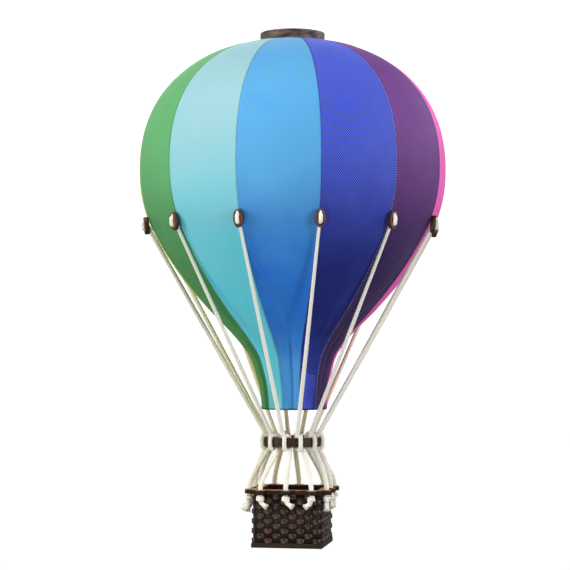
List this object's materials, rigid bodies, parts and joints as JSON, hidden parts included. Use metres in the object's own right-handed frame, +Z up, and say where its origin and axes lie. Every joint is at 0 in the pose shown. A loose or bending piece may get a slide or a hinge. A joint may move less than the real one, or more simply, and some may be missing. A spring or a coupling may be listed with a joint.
{
  "type": "hanging decorative hot air balloon",
  "caption": "Small hanging hot air balloon decoration: striped fabric envelope with a wooden cap, cords buttoned to its seams and gathered by a ring, and a square woven basket.",
  "frame": {"origin": "the thread hole in the middle of the cap's top face, where the decoration hangs", "axes": "+Z up along the balloon's middle line, -Y out of the basket's front, +X to the basket's right"},
  "size_m": [0.1962, 0.1962, 0.33],
  "materials": {
    "gore_green": "matt twill cotton",
    "gore_aqua": "matt twill cotton",
    "gore_sky": "matt twill cotton",
    "gore_royal": "matt twill cotton",
    "gore_purple": "matt twill cotton",
    "gore_pink": "matt twill cotton",
    "gore_crimson": "matt twill cotton",
    "gore_red": "matt twill cotton",
    "gore_orange": "matt twill cotton",
    "gore_amber": "matt twill cotton",
    "gore_yellow": "matt twill cotton",
    "gore_lime": "matt twill cotton",
    "cap_wood": "dark brown stain, satin",
    "button_wood": "dark brown stain with worn reddish rim",
    "ring_wood": "dark brown stain, satin",
    "cotton_cord": "twisted natural cotton",
    "rim_wood": "dark stained plywood with bare cut edges",
    "wicker": "dark stained woven cane",
    "floor_wood": "dark stained plywood"
  },
  "bodies": {
    "root": {"gore_green": "gore_green", "gore_aqua": "gore_aqua", "gore_sky": "gore_sky", "gore_royal": "gore_royal", "gore_purple": "gore_purple", "gore_pink": "gore_pink", "gore_crimson": "gore_crimson", "gore_red": "gore_red", "gore_orange": "gore_orange", "gore_amber": "gore_amber", "gore_yellow": "gore_yellow", "gore_lime": "gore_lime", "cap": "cap_wood", "ring": "ring_wood", "button_01": "button_wood", "button_02": "button_wood", "button_03": "button_wood", "button_04": "button_wood", "button_05": "button_wood", "button_06": "button_wood", "button_07": "button_wood", "button_08": "button_wood", "button_09": "button_wood", "button_10": "button_wood", "button_11": "button_wood", "button_12": "button_wood", "cord_01": "cotton_cord", "cord_02": "cotton_cord", "cord_03": "cotton_cord", "cord_04": "cotton_cord", "cord_05": "cotton_cord", "cord_06": "cotton_cord", "cord_07": "cotton_cord", "cord_08": "cotton_cord", "cord_09": "cotton_cord", "cord_10": "cotton_cord", "cord_11": "cotton_cord", "cord_12": "cotton_cord", "rim_plate": "rim_wood", "basket_front": "wicker", "basket_right": "wicker", "basket_back": "wicker", "basket_left": "wicker", "basket_floor": "floor_wood"}
  },
  "joints": []
}
